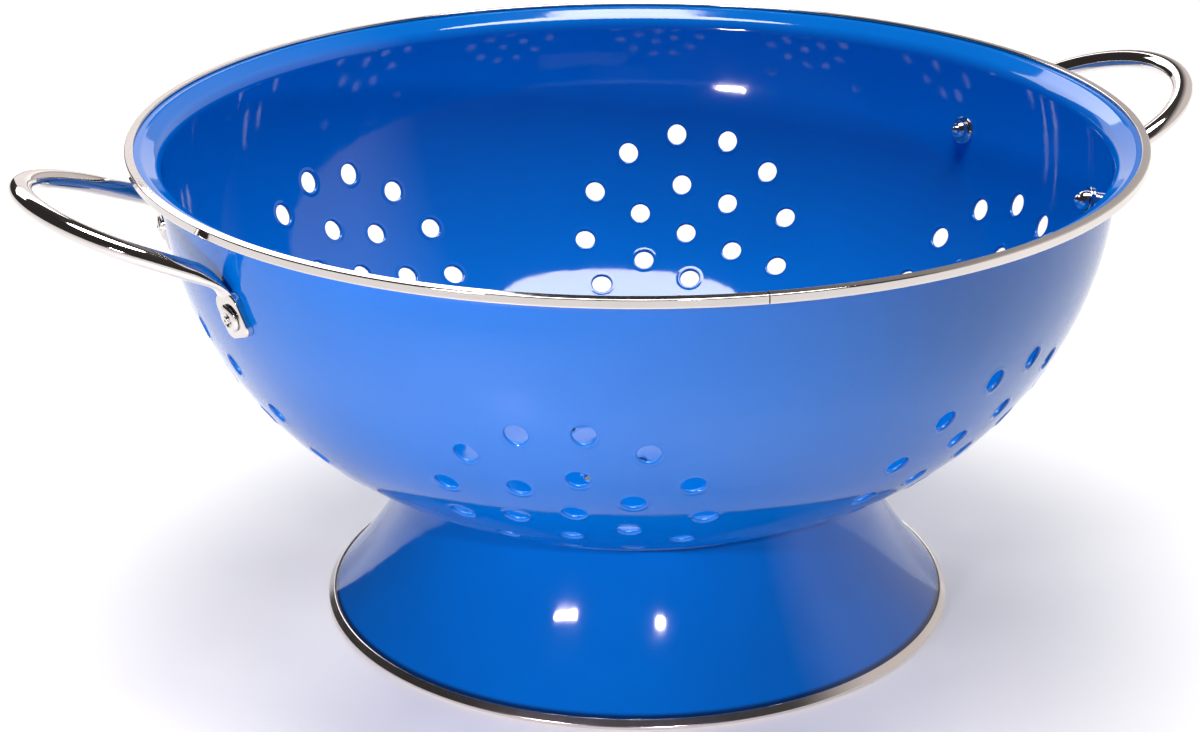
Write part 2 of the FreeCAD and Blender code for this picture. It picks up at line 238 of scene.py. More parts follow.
rim_turns = np.arange(rim_sides) * 2 * math.pi / rim_sides
plan = [plan_spot(np.full(rim_sides, arc_end), rim_turns)]
plan_edges = [(number, (number + 1) % rim_sides) for number in range(rim_sides)]
hole_starts = []
plan_size = rim_sides
for rings in holes:
    hole_starts.append(plan_size)
    plan.append(plan_spot(rings[0][0], rings[0][1]))
    plan_edges += [(plan_size + n, plan_size + (n + 1) % hole_sides) for n in range(hole_sides)]
    plan_size += hole_sides
wall_rings = round(arc_end / wall_step)
for number in range(wall_rings):
    distance = arc_end * number / wall_rings
    count = max(1, round(2 * math.pi * bowl_profile(distance)[0] / wall_step))
    azimuth = (np.arange(count) + 0.5 * (number % 2)) * 2 * math.pi / count
    middle, way = on_bowl(np.full(count, distance), azimuth)
    gap = np.linalg.norm(middle[:, None] - hole_middles[None], axis=2) - hole_reaches[None]
    clear = gap.min(axis=1) > hole_clearance
    plan.append(plan_spot(np.full(count, distance), azimuth)[clear])
plan = np.concatenate(plan)
cut = geometry.delaunay_2d_cdt([Vector(p) for p in plan.tolist()], plan_edges, [], 0, merge_distance)
cut_plan = np.array([tuple(p) for p in cut[0]])
cut_faces = np.array(cut[2])
cut_index = {}
for new_index, old_indices in enumerate(cut[3]):
    for old_index in old_indices:
        cut_index[old_index] = new_index
cut_distance = np.hypot(cut_plan[:, 0], cut_plan[:, 1])
cut_azimuth = np.arctan2(cut_plan[:, 1], cut_plan[:, 0])
cut_middle, cut_out = on_bowl(cut_distance, cut_azimuth)
in_hole = np.zeros(len(cut_faces), bool)
for rings, start in zip(holes, hole_starts):
    ring_ids = np.array([cut_index[start + n] for n in range(hole_sides)])
    in_hole |= np.isin(cut_faces, ring_ids).all(axis=1)
cut_faces = cut_faces[~in_hole]

points = [cut_middle + cut_out * half_sheet, cut_middle - cut_out * half_sheet]
normals = [cut_out, -cut_out]
sheet_points = len(cut_middle)
faces = [tuple(f) for f in cut_faces.tolist()] + [tuple(f) for f in (cut_faces + sheet_points).tolist()]


def add_ring(ring_points, ring_normals):
    """Add a ring of points to the bowl and give its indices."""
    start = sum(len(group) for group in points)
    points.append(ring_points)
    normals.append(ring_normals)
    return list(range(start, start + len(ring_points)))


def join_rings(rings):
    """Faces between each ring of indices and the next."""
    strip = []
    for first, second in zip(rings, rings[1:]):
        for n in range(len(first)):
            after = (n + 1) % len(first)
            strip.append((first[n], first[after], second[after], second[n]))
    return strip


for rings, start in zip(holes, hole_starts):
    outside = [cut_index[start + n] for n in range(hole_sides)]
    inside = [index + sheet_points for index in outside]
    between = [add_ring(ring[2], ring[3]) for ring in rings[1:-1]]
    faces += join_rings([outside] + between + [inside])

# Above the wall the sheet flares into the nearly level lip, whose edge is inside the trim
flare_steps = 30
lip_steps = 3
lip_distances = [flare_start + (lip_start - flare_start) * n / flare_steps for n in range(flare_steps + 1)]
lip_distances += [lip_start + lip_length * (n + 1) / lip_steps for n in range(lip_steps)]
wall_top = [cut_index[n] for n in range(rim_sides)]
outer_lip = [wall_top]
inner_lip = [[index + sheet_points for index in wall_top]]
for distance in lip_distances:
    middle, way = on_bowl(np.full(rim_sides, distance), rim_turns)
    outer_lip.append(add_ring(middle + way * half_sheet, way))
    inner_lip.append(add_ring(middle - way * half_sheet, -way))
faces += join_rings(outer_lip) + join_rings(inner_lip) + join_rings([outer_lip[-1], inner_lip[-1]])


def mesh_piece(name, piece_points, piece_faces, piece_normals=None):
    """An object made from points in millimetres, smooth, with every face turned to face outwards."""
    piece_points = np.asarray(piece_points, float)
    if piece_normals is not None:
        piece_normals = np.asarray(piece_normals, float)
        piece_normals = piece_normals / np.linalg.norm(piece_normals, axis=1)[:, None]
        first, middle, last = np.array([(face[0], face[len(face) // 2], face[-1]) for face in piece_faces]).T
        corner = piece_points[first]
        way = np.cross(piece_points[middle] - corner, piece_points[last] - corner)
        outward = piece_normals[first] + piece_normals[middle] + piece_normals[last]
        faces_out = (way * outward).sum(axis=1) >= 0
        piece_faces = [face if right else face[::-1] for face, right in zip(piece_faces, faces_out)]
    mesh = bpy.data.meshes.new(name)
    mesh.from_pydata((piece_points * MM).tolist(), [], piece_faces)
    mesh.validate()
    mesh.shade_smooth()
    if piece_normals is not None:
        mesh.normals_split_custom_set_from_vertices(piece_normals.tolist())
    piece = bpy.data.objects.new(name, mesh)
    bpy.context.scene.collection.objects.link(piece)
    return piece


def new_material(name):
    """An empty material: its nodes, its links and its main shader."""
    material = bpy.data.materials.new(name)
    material.use_nodes = True
    tree = material.node_tree
    return material, tree.nodes, tree.links, tree.nodes["Principled BSDF"]


def noise_at(nodes, links, scale, detail):
    """Noise in the object's own metres, with scale in waves to the metre."""
    coordinates = nodes.new("ShaderNodeTexCoord")
    texture = nodes.new("ShaderNodeTexNoise")
    texture.inputs["Scale"].default_value = scale
    texture.inputs["Detail"].default_value = detail
    links.new(coordinates.outputs["Object"], texture.inputs["Vector"])
    return texture


def ramp_from(nodes, links, texture, low, high):
    """Noise spread between two colours or two values, over the middle part of its range."""
    from_low, from_high = 0.3, 0.7
    ramp = nodes.new("ShaderNodeMapRange" if not isinstance(low, tuple) else "ShaderNodeValToRGB")
    if isinstance(low, tuple):
        ramp.color_ramp.elements[0].position = from_low
        ramp.color_ramp.elements[1].position = from_high
        ramp.color_ramp.elements[0].color = (*low, 1)
        ramp.color_ramp.elements[1].color = (*high, 1)
        links.new(texture.outputs["Fac"], ramp.inputs["Fac"])
        return ramp.outputs["Color"]
    ramp.inputs["From Min"].default_value = from_low
    ramp.inputs["From Max"].default_value = from_high
    ramp.inputs["To Min"].default_value = low
    ramp.inputs["To Max"].default_value = high
    links.new(texture.outputs["Fac"], ramp.inputs["Value"])
    return ramp.outputs["Result"]


def enamel(name, thin_colour, thick_colour, edge_low=None, edge_high=None, edge_shade_colour=None):
    """Fired glass on steel: deep gloss, colour that varies with its thickness, and a faint ripple.
    Between two heights, in metres, it may darken along an edge to a painted shade: the shade that falls in
    the crease beside a trim."""
    material, nodes, links, shader = new_material(name)
    shader.inputs["IOR"].default_value = 1.6
    flow = noise_at(nodes, links, scale=28, detail=3)
    colour = ramp_from(nodes, links, flow, thin_colour, thick_colour)
    # Painted shade: below the lower height the colour is the dark shade colour, and it fades to the enamel's
    # own colour by the upper height.
    if edge_shade_colour is not None:
        place = nodes.new("ShaderNodeTexCoord")
        parts = nodes.new("ShaderNodeSeparateXYZ")
        shade_fade = nodes.new("ShaderNodeMapRange")
        shade_fade.interpolation_type = "SMOOTHSTEP"
        shade_fade.inputs["From Min"].default_value = edge_low
        shade_fade.inputs["From Max"].default_value = edge_high
        painted_shade = nodes.new("ShaderNodeMix")
        painted_shade.data_type = "RGBA"
        painted_shade.inputs["A"].default_value = (*edge_shade_colour, 1)
        links.new(place.outputs["Object"], parts.inputs["Vector"])
        links.new(parts.outputs["Z"], shade_fade.inputs["Value"])
        links.new(shade_fade.outputs["Result"], painted_shade.inputs["Factor"])
        links.new(colour, painted_shade.inputs["B"])
        colour = painted_shade.outputs["Result"]
    links.new(colour, shader.inputs["Base Color"])
    haze = noise_at(nodes, links, scale=90, detail=4)
    links.new(ramp_from(nodes, links, haze, low=0.035, high=0.075), shader.inputs["Roughness"])
    ripple = noise_at(nodes, links, scale=140, detail=2)
    bump = nodes.new("ShaderNodeBump")
    bump.inputs["Strength"].default_value = 0.12
    bump.inputs["Distance"].default_value = 0.0002
    links.new(ripple.outputs["Fac"], bump.inputs["Height"])
    links.new(bump.outputs["Normal"], shader.inputs["Normal"])
    return material


thin_blue = (0.0, 0.168, 0.66)
thick_blue = (0.0, 0.155, 0.62)
blue_enamel = enamel("blue_enamel", thin_blue, thick_blue)
bowl_shell = mesh_piece("bowl_shell", np.concatenate(points), faces, np.concatenate(normals))
bowl_shell.data.materials.append(blue_enamel)
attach(bowl_shell, "root")
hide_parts("bowl")


# Foot
# A spun steel ring that flares down to the table, with a flange turned in against the bowl. It is
# spot welded to the bowl and dipped with it, so the enamel fills the corner where they meet.

foot_radius = 90.5
foot_trim_half = 1.0               # half the thickness of the strip on the foot
trim_flat = 0.06                   # the trim's round underside is flattened by this much
foot_flare = 100.0
neck_radius = 65.0
flange_width = 7.0
corner_fillet = 1.3
flange_sink = half_sheet / 4       # the enamel joins the flange to the bowl, so it reaches this far into it
bowl_centre = np.array([floor_radius, arc_height])
foot_edge = np.array([foot_radius - foot_trim_half, foot_trim_half - trim_flat])


def arc_points(centre, radius, start, end, steps):
    """Points on an arc between two angles, both included."""
    angles = np.linspace(start, end, steps + 1)
    return centre + radius * np.stack([np.cos(angles), np.sin(angles)], axis=1)


def angle_of(centre, point):
    return math.atan2(point[1] - centre[1], point[0] - centre[0])


def circles_meet(centre_one, radius_one, centre_two, radius_two):
    """Where two circles cross, on the left of the way from the first to the second."""
    way = centre_two - centre_one
    length = np.linalg.norm(way)
    along = (radius_one ** 2 - radius_two ** 2 + length ** 2) / (2 * length)
    across = math.sqrt(radius_one ** 2 - along ** 2)
    way = way / length
    return centre_one + way * along + np.array([-way[1], way[0]]) * across


upright = (np.zeros(3), np.array([1.0, 0, 0]), np.array([0, 1.0, 0]), np.array([0, 0, 1.0]))


def turned(name, profile, place=upright, sides=rim_sides, seam=None, seam_gap=0.0):
    """A closed profile of radius and height turned about its axis; a seam leaves a gap at an angle."""
    profile = np.asarray(profile, float)
    after = np.roll(profile, -1, axis=0)
    area = (profile[:, 0] * after[:, 1] - after[:, 0] * profile[:, 1]).sum()
    step = after - profile
    edge_normals = np.stack([step[:, 1], -step[:, 0]], axis=1) * math.copysign(1, area)
    profile_normals = edge_normals + np.roll(edge_normals, 1, axis=0)
    closed = seam is None
    if closed:
        turns = np.arange(sides) * 2 * math.pi / sides
    else:
        half_gap = seam_gap / 2 / profile[:, 0].max()
        turns = np.linspace(seam + half_gap, seam + 2 * math.pi - half_gap, sides + 1)
    origin, first, second, axis = place
    ring_way = np.cos(turns)[:, None] * first + np.sin(turns)[:, None] * second
    ring_points = origin + profile[None, :, 0, None] * ring_way[:, None] + profile[None, :, 1, None] * axis
    ring_normals = profile_normals[None, :, 0, None] * ring_way[:, None]
    ring_normals = ring_normals + profile_normals[None, :, 1, None] * axis
    count = len(profile)
    turned_faces = []
    for n in range(len(turns) if closed else len(turns) - 1):
        here = n * count
        there = (n + 1) % len(turns) * count
        for m in range(count):
            beside = (m + 1) % count
            turned_faces.append((here + m, here + beside, there + beside, there + m))
    flat_normals = ring_normals.reshape(-1, 3)
    return mesh_piece(name, ring_points.reshape(-1, 3), turned_faces, flat_normals)


neck_polar = math.asin((neck_radius - floor_radius) / (bowl_arc + half_sheet))
neck = bowl_centre + (bowl_arc + half_sheet) * np.array([math.sin(neck_polar), -math.cos(neck_polar)])
foot_chord = neck - foot_edge
foot_side = np.array([foot_chord[1], -foot_chord[0]]) / np.linalg.norm(foot_chord)
foot_hollow = math.sqrt(foot_flare ** 2 - (foot_chord @ foot_chord) / 4)
foot_centre = foot_edge + foot_chord / 2 + foot_side * foot_hollow
foot_out = (foot_centre - foot_edge) / foot_flare
fillet_centre = circles_meet(foot_centre, foot_flare - half_sheet - corner_fillet,
                             bowl_centre, bowl_arc + corner_fillet)
under_corner = circles_meet(foot_centre, foot_flare + half_sheet, bowl_centre, bowl_arc + sheet)
edge_angle = angle_of(foot_centre, foot_edge) + 2 * math.pi
fillet_foot_angle = angle_of(foot_centre, fillet_centre) % (2 * math.pi)
fillet_bowl_angle = angle_of(bowl_centre, fillet_centre)
flange_angle = neck_polar - flange_width / (bowl_arc + half_sheet) - math.pi / 2
under_foot_angle = angle_of(foot_centre, under_corner) % (2 * math.pi)
under_bowl_angle = angle_of(bowl_centre, under_corner)
fillet_start = angle_of(fillet_centre, foot_centre) + math.pi
fillet_end = angle_of(fillet_centre, bowl_centre)
foot_profile = np.concatenate([
    arc_points(foot_centre, foot_flare - half_sheet, edge_angle, fillet_foot_angle, steps=36),
    arc_points(fillet_centre, corner_fillet, fillet_start, fillet_end, steps=8)[1:],
    arc_points(bowl_centre, bowl_arc - flange_sink, fillet_bowl_angle, flange_angle, steps=8)[1:],
    arc_points(bowl_centre, bowl_arc + sheet, flange_angle, under_bowl_angle, steps=8),
    arc_points(foot_centre, foot_flare + half_sheet, under_foot_angle, edge_angle, steps=36)[1:],
])
foot_ring = turned("foot_ring", foot_profile)
# Painted shade on the foot: its enamel darkens between 4 mm and 3 mm above the table, in the groove just
# above its strip.
painted_edge_shade = (0.002, 0.03, 0.12)
edge_shaded_enamel = enamel("edge_shaded_enamel", thin_blue, thick_blue,
                      edge_low=0.0030, edge_high=0.0040, edge_shade_colour=painted_edge_shade)
foot_ring.data.materials.append(edge_shaded_enamel)
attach(foot_ring, "root")
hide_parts("foot")


# Edge trims
# Thin strips of polished stainless steel, folded over the raw edges of the lip and the foot after
# firing. The rim's strip is closed by a butt joint at the front.

rim_trim_leg = 1.25
foot_trim_leg = 1.8
trim_play = 0.04
seam_azimuth = math.radians(-99.1)
seam_gap = 0.3


def unit(way):
    return way / np.linalg.norm(way)


def soft_corner(before, corner, after, reach, steps=10):
    """A curve that cuts a corner, from one straight to the next."""
    start = corner + unit(before - corner) * reach
    end = corner + unit(after - corner) * reach
    shares = np.linspace(0, 1, steps + 1)[:, None]
    return start * (1 - shares) ** 2 + corner * 2 * shares * (1 - shares) + end * shares ** 2


def folded_strip(end, way, leg, outer_half, lean, fall, upper_reach, lower_reach):
    """Section of a strip folded over an edge and rolled nearly flat on its outside. Its outer face leans
    in towards its upper corner, its upper face falls towards that corner, and its legs have round tips."""
    across = np.array([way[1], -way[0]])
    inner_half = half_sheet + trim_play
    tip_round = (outer_half - inner_half) / 2
    tip_middle = outer_half - tip_round
    upper_tip = end + way * leg + across * outer_half
    lower_tip = end + way * leg - across * outer_half
    upper = end - way * (outer_half - lean) + across * (outer_half - fall)
    lower = end - way * outer_half - across * outer_half
    turn = angle_of((0, 0), across)
    tips = []
    for middle in (-tip_middle, tip_middle):
        tip = end + way * (leg - tip_round) + across * middle
        tips.append(arc_points(tip, tip_round, turn + math.pi, turn, steps=8))
    return np.concatenate([
        soft_corner(upper_tip, upper, lower, upper_reach),
        soft_corner(upper, lower, lower_tip, lower_reach),
        tips[0],
        arc_points(end, inner_half, turn + math.pi, turn + 2 * math.pi, steps=12),
        tips[1],
    ])


def polished_steel(name, tint, roughness_low, roughness_high, streaks):
    """Polished stainless steel: clear mirror with faint polishing haze and fine lines."""
    material, nodes, links, shader = new_material(name)
    shader.inputs["Metallic"].default_value = 1.0
    dark_share = 0.94
    tone = noise_at(nodes, links, scale=60, detail=3)
    dark_tint = tuple(dark_share * part for part in tint)
    links.new(ramp_from(nodes, links, tone, dark_tint, tint), shader.inputs["Base Color"])
    haze = noise_at(nodes, links, scale=streaks, detail=5)
    links.new(ramp_from(nodes, links, haze, roughness_low, roughness_high), shader.inputs["Roughness"])
    lines = noise_at(nodes, links, scale=streaks * 3, detail=2)
    bump = nodes.new("ShaderNodeBump")
    bump.inputs["Strength"].default_value = 0.05
    bump.inputs["Distance"].default_value = 0.0001
    links.new(lines.outputs["Fac"], bump.inputs["Height"])
    links.new(bump.outputs["Normal"], shader.inputs["Normal"])
    return material


strip_tint = (0.80, 0.76, 0.735)
trim_steel = polished_steel("trim_steel", strip_tint, roughness_low=0.05, roughness_high=0.10, streaks=200)
satin_steel = polished_steel("satin_steel", strip_tint, roughness_low=0.18, roughness_high=0.22, streaks=200)
rim_section = folded_strip(np.array([lip_edge, lip_height]), np.array([-1.0, 0.0]), rim_trim_leg,
                           rim_trim_half, lean=0.1, fall=0.18, upper_reach=0.36, lower_reach=0.6)
rim_strip = turned("rim_strip", rim_section, seam=seam_azimuth, seam_gap=seam_gap)
up_the_foot = np.array([-foot_out[1], foot_out[0]])
foot_section = folded_strip(foot_edge, up_the_foot, foot_trim_leg,
                            foot_trim_half, lean=0.28, fall=0.0, upper_reach=0.42, lower_reach=0.5)
foot_section[:, 1] = np.maximum(foot_section[:, 1], 0.0)
foot_strip = turned("foot_strip", foot_section)
for strip, node, steel in ((rim_strip, "rim_trim", trim_steel), (foot_strip, "foot_trim", satin_steel)):
    strip.data.materials.append(steel)
    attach(strip, "root")
    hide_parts(node)


# Handles
# Each is one stainless steel rod of oval section, bent to a loop. Its ends are bent down, stamped
# into flat ears that follow the wall, and polished all over.

rod_width = 6.2
rod_height = 5.2
loop_radius = 32.5
loop_reach = 44.5
loop_rise = math.radians(21.6)
ear_thickness = 2.0
ear_width = 11.5
ear_below = 5.8
ear_above = 6.5
ear_corner = 3.5
ear_lower_corner = 2.6
ear_slant = math.radians(20.0)
ear_bevel = 0.55
bend_rise = 10.2
bend_outer = 6.5
bend_inner = 5.4
bend_end_width = 9.2
bend_end_height = 1.6
rod_sides = 40
loop_steps = 48
leg_steps = 13
bend_steps = 28
ear_face_steps = 6
ear_bevel_steps = 5
ear_under_steps = 3


def ear_axes():
    """The right handle's back ear: its rivet's point, and the ways across, up and out of the ear."""
    point, side, up, out = wall_axes(rivet_spread, rivet_polar)
    ear_up = up * math.cos(ear_slant) - side * math.sin(ear_slant)
    ear_side = side * math.cos(ear_slant) + up * math.sin(ear_slant)
    return point, ear_side, ear_up, out


def half_rod():
    """Sections from the tip of the loop to inside the back ear: middle, wide way, high way, two sizes."""
    point, ear_side, ear_up, out = ear_axes()
    corner = point + out * (ear_thickness / 2) + ear_up * bend_rise
    outward = np.array([math.cos(loop_rise), 0, math.sin(loop_rise)])
    across = np.array([-math.sin(loop_rise), 0, math.cos(loop_rise)])
    side_way = np.array([0.0, 1.0, 0.0])
    loop_middle = np.array([corner[0], 0, corner[2]]) + outward * (loop_reach - loop_radius)
    to_corner = corner - loop_middle
    corner_distance = np.linalg.norm(to_corner)
    corner_angle = math.atan2(to_corner @ side_way, to_corner @ outward)
    round_angle = corner_angle - math.acos(loop_radius / corner_distance)
    sections = []
    for angle in np.linspace(0, round_angle, loop_steps + 1):
        radial = outward * math.cos(angle) + side_way * math.sin(angle)
        sections.append((loop_middle + radial * loop_radius, radial, across, rod_width, rod_height))
    leg_end = sections[-1][0]
    leg_way = unit(corner - leg_end)
    leg_start = corner - leg_way * bend_outer
    radial = sections[-1][1]
    for share in np.linspace(0, 1, leg_steps + 1)[1:]:
        sections.append((leg_end + (leg_start - leg_end) * share, radial, across, rod_width, rod_height))
    bend_end = corner - ear_up * bend_inner
    wide_end = ear_side if ear_side @ radial > 0 else -ear_side
    for t in np.linspace(0, 1, bend_steps + 1)[1:]:
        share = t * t * (3 - 2 * t)
        middle = leg_start * (1 - t) ** 2 + corner * (2 * t * (1 - t)) + bend_end * t ** 2
        way = unit((corner - leg_start) * (1 - t) + (bend_end - corner) * t)
        wide = radial * (1 - t) + wide_end * t
        wide = unit(wide - way * (wide @ way))
        high = np.cross(wide, way)
        if high @ sections[-1][2] < 0:
            high = -high
        width = rod_width + (bend_end_width - rod_width) * share
        height = rod_height + (bend_end_height - rod_height) * share
        sections.append((middle, wide, high, width, height))
    return sections


def mirrored(way):
    return way * np.array([1.0, -1.0, 1.0])


def rod_mesh():
    """Points and faces of the whole bent rod, closed at both ends."""
    half = half_rod()
    whole = [(mirrored(m), mirrored(w), mirrored(h), a, b) for m, w, h, a, b in half[:0:-1]] + half
    around = np.arange(rod_sides) * 2 * math.pi / rod_sides
    rod_points = []
    for middle, wide, high, width, height in whole:
        rod_points.append(middle + np.cos(around)[:, None] * wide * (width / 2)
                          + np.sin(around)[:, None] * high * (height / 2))
    rings = [[n * rod_sides + m for m in range(rod_sides)] for n in range(len(whole))]
    rod_faces = join_rings(rings) + [tuple(rings[0][::-1]), tuple(rings[-1])]
    return np.concatenate(rod_points), rod_faces


def ear_outline(inset, count_corner=10):
    """Points round the ear's plate, and their outward ways, drawn in by an inset."""
    outline, ways = [], []
    half_width = ear_width / 2
    corners = ((1, 1, ear_above, ear_corner), (-1, 1, ear_above, ear_corner),
               (-1, -1, ear_below, ear_lower_corner), (1, -1, ear_below, ear_lower_corner))
    for number, (right, top, end, radius) in enumerate(corners):
        middle = np.array([right * (half_width - radius), top * (end - radius)])
        for angle in np.linspace(number * math.pi / 2, (number + 1) * math.pi / 2, count_corner + 1):
            way = np.array([math.cos(angle), math.sin(angle)])
            outline.append(middle + way * (radius - inset))
            ways.append(way)
    return np.array(outline), np.array(ways)


def ear_mesh(mirror):
    """Points, faces and normals of one ear: a bevelled plate with a hole, curved to the wall."""
    point, ear_side, ear_up, out = ear_axes()
    round_radius = np.linalg.norm(point[:2]) / math.sin(rivet_polar)
    count = len(ear_outline(0)[0])
    hole_turn = np.array([math.atan2(p[1], p[0]) for p in ear_outline(0)[0]])
    hole_way = np.stack([np.cos(hole_turn), np.sin(hole_turn)], axis=1)
    hole_edge = hole_way * rivet_hole_radius
    layers = []
    plate, ways = ear_outline(ear_bevel)
    still = np.zeros_like(ways)
    for share in np.linspace(0, 1, ear_face_steps + 1):
        layers.append((hole_edge * (1 - share) + plate * share, ear_thickness, still, 1.0))
    for angle in np.linspace(0, math.pi / 2, ear_bevel_steps + 1)[1:]:
        bevel_line = plate + ways * ear_bevel * math.sin(angle)
        bevel_height = ear_thickness - ear_bevel * (1 - math.cos(angle))
        layers.append((bevel_line, bevel_height, ways * math.sin(angle), math.cos(angle)))
    rim_line = plate + ways * ear_bevel
    under_round = ear_bevel / 2
    lower_plate = rim_line - ways * under_round
    for angle in np.linspace(0, math.pi / 2, ear_under_steps + 1):
        under_line = lower_plate + ways * under_round * math.cos(angle)
        under_height = under_round * (1 - math.sin(angle))
        layers.append((under_line, under_height, ways * math.cos(angle), -math.sin(angle)))
    for share in np.linspace(1, 0, ear_under_steps + 1)[1:]:
        layers.append((hole_edge * (1 - share) + lower_plate * share, 0.0, still, -1.0))
    ear_points, ear_normals = [], []
    for flat, lift, way, face in layers:
        u, v = flat[:, 0], flat[:, 1]
        drop = v ** 2 / (2 * bowl_arc) + u ** 2 / (2 * round_radius)
        ear_points.append(point + u[:, None] * ear_side + v[:, None] * ear_up + (lift - drop)[:, None] * out)
        tilt = out + (u / round_radius)[:, None] * ear_side + (v / bowl_arc)[:, None] * ear_up
        ear_normals.append(tilt * face + way[:, :1] * ear_side + way[:, 1:] * ear_up)
    ear_points = np.concatenate(ear_points)
    ear_normals = np.concatenate(ear_normals)
    if mirror:
        ear_points = mirrored(ear_points)
        ear_normals = mirrored(ear_normals)
    rings = [[n * count + m for m in range(count)] for n in range(len(layers))]
    return ear_points, join_rings(rings + rings[:1]), ear_normals


def handle(name, half_turn):
    """Rod and both ears as one piece; the left handle is the right one turned half round."""
    rod_points, rod_faces = rod_mesh()
    rod = mesh_piece(name + "_rod", rod_points, rod_faces)
    rod_normals = np.array([tuple(v.normal) for v in rod.data.vertices])
    bpy.data.objects.remove(rod)
    all_points, all_normals, all_faces = [rod_points], [rod_normals], list(rod_faces)
    start = len(rod_points)
    for mirror in (False, True):
        ear_points, ear_faces, ear_normals = ear_mesh(mirror)
        all_points.append(ear_points)
        all_normals.append(ear_normals)
        all_faces += [tuple(index + start for index in face) for face in ear_faces]
        start += len(ear_points)
    all_points = np.concatenate(all_points)
    all_normals = np.concatenate(all_normals)
    if half_turn:
        all_points = all_points * np.array([-1.0, -1.0, 1.0])
        all_normals = all_normals * np.array([-1.0, -1.0, 1.0])
    return mesh_piece(name, all_points, all_faces, all_normals)


rod_tint = (0.81, 0.77, 0.745)
rod_steel = polished_steel("rod_steel", rod_tint, roughness_low=0.03, roughness_high=0.07, streaks=300)
for handle_name, node, half_turn in (("right_rod", "right_handle", False), ("left_rod", "left_handle", True)):
    piece = handle(handle_name, half_turn)
    piece.data.materials.append(rod_steel)
    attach(piece, "root")
    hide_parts(node)


# Rivets
# Blind rivets of bright steel: the sleeve's dished head presses on the ear outside, its bulb on a
# washer inside, and the pin that set it is left in, broken off short outside and domed inside.

sleeve_radius = 2.0
rivet_play = 0.1
set_gap = 0.06
head_radius = 3.8
head_edge = 0.4
head_height = 1.1
dish_radius = 2.3
dish_depth = 0.6
washer_radius = 4.1
washer_thickness = 0.8
bulb_radius = 3.0
bulb_length = 2.6
bulb_end_radius = 1.9
pin_radius = 1.1
pin_stub = 0.5
pin_head_radius = 1.5
pin_head_height = 1.1
sleeve_rounding = 0.16
pin_rounding = 0.25
washer_rounding = 0.3
rivet_sides = 56
head_seat = ear_thickness + set_gap
head_top = head_seat + head_height
bulb_seat = -(sheet + washer_thickness + set_gap)
bulb_end = bulb_seat - bulb_length


def cap_radius(half_width, height):
    return (half_width ** 2 + height ** 2) / (2 * height)


def rounded(profile, radius, steps=4):
    """A closed profile with its sharp corners rounded, except on the axis."""
    nearly_straight = math.radians(150)
    on_axis = 1e-6
    longest_share = 0.45
    profile = np.asarray(profile, float)
    result = []
    for before, corner, after in zip(np.roll(profile, 1, axis=0), profile, np.roll(profile, -1, axis=0)):
        back, on = before - corner, after - corner
        back_length, on_length = np.linalg.norm(back), np.linalg.norm(on)
        turn = math.acos(np.clip(back @ on / back_length / on_length, -1, 1))
        if turn > nearly_straight or corner[0] < on_axis:
            result.append(corner)
            continue
        reach = min(radius, longest_share * back_length, longest_share * on_length)
        start = corner + back / back_length * reach
        end = corner + on / on_length * reach
        for t in np.linspace(0, 1, steps + 1):
            result.append(start * (1 - t) ** 2 + corner * 2 * t * (1 - t) + end * t ** 2)
    return np.array(result)


bore = pin_radius + rivet_play
crest_radius = cap_radius(head_radius - dish_radius, head_height - head_edge)
crest_centre = np.array([dish_radius, head_top - crest_radius])
crest_angle = angle_of(crest_centre, (head_radius, head_seat + head_edge))
bulb_round = cap_radius(bulb_length, bulb_radius - bulb_end_radius)
bulb_centre = np.array([bulb_radius - bulb_round, bulb_seat])
bulb_angle = angle_of(bulb_centre, (bulb_end_radius, bulb_end))
sleeve_profile = np.concatenate([
    [(bore, head_top - dish_depth)],
    arc_points(crest_centre, crest_radius, math.pi / 2, crest_angle, steps=8),
    [(head_radius, head_seat), (sleeve_radius, head_seat), (sleeve_radius, bulb_seat)],
    arc_points(bulb_centre, bulb_round, 0, bulb_angle, steps=10),
    [(bore, bulb_end)],
])
dome_radius = cap_radius(pin_head_radius, pin_head_height)
dome_centre = np.array([0.0, bulb_end - pin_head_height + dome_radius])
dome_angle = angle_of(dome_centre, (pin_head_radius, bulb_end))
pin_profile = np.concatenate([
    [(0.0, head_top + pin_stub), (pin_radius, head_top + pin_stub), (pin_radius, bulb_end)],
    arc_points(dome_centre, dome_radius, dome_angle, -math.pi / 2, steps=10),
])
washer_profile = np.array([
    (rivet_hole_radius, -sheet), (washer_radius, -sheet),
    (washer_radius, -sheet - washer_thickness), (rivet_hole_radius, -sheet - washer_thickness),
])
rivet_tint = (0.80, 0.77, 0.74)
rivet_steel = polished_steel("rivet_steel", rivet_tint, roughness_low=0.06, roughness_high=0.12, streaks=500)
rivet_pieces = (
    ("sleeve", "rivet", sleeve_profile, sleeve_rounding),
    ("pin", "mandrel", pin_profile, pin_rounding),
    ("disc", "washer", washer_profile, washer_rounding),
)
for place_name, rivet_azimuth in rivet_azimuths.items():
    rivet_place = wall_axes(rivet_azimuth, rivet_polar)
    for kind, node, profile, rounding in rivet_pieces:
        piece_profile = rounded(profile, rounding)
        piece = turned(place_name + "_" + kind, piece_profile, place=rivet_place, sides=rivet_sides)
        piece.data.materials.append(rivet_steel)
        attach(piece, "root")
        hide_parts(place_name + "_" + node)


# Floor and light
# A plain pale table, a large soft lamp above, two more behind, two small lamps in front, and a dim
# room that is palest on the right.

floor_size = 6.0                   # metres, as are all sizes and places from here on
floor_drop = 0.00005               # the table is this far below the foot's strip, so no faces share a plane
floor_tone = 0.75
floor_roughness = 0.36
floor_glow = 0.30                  # lifts the background towards white, and lights nothing
view_azimuth = math.radians(68.3)  # the way that the camera looks, which the lamp above is in line with
pale_azimuth = math.radians(10)    # the side of the room that is palest


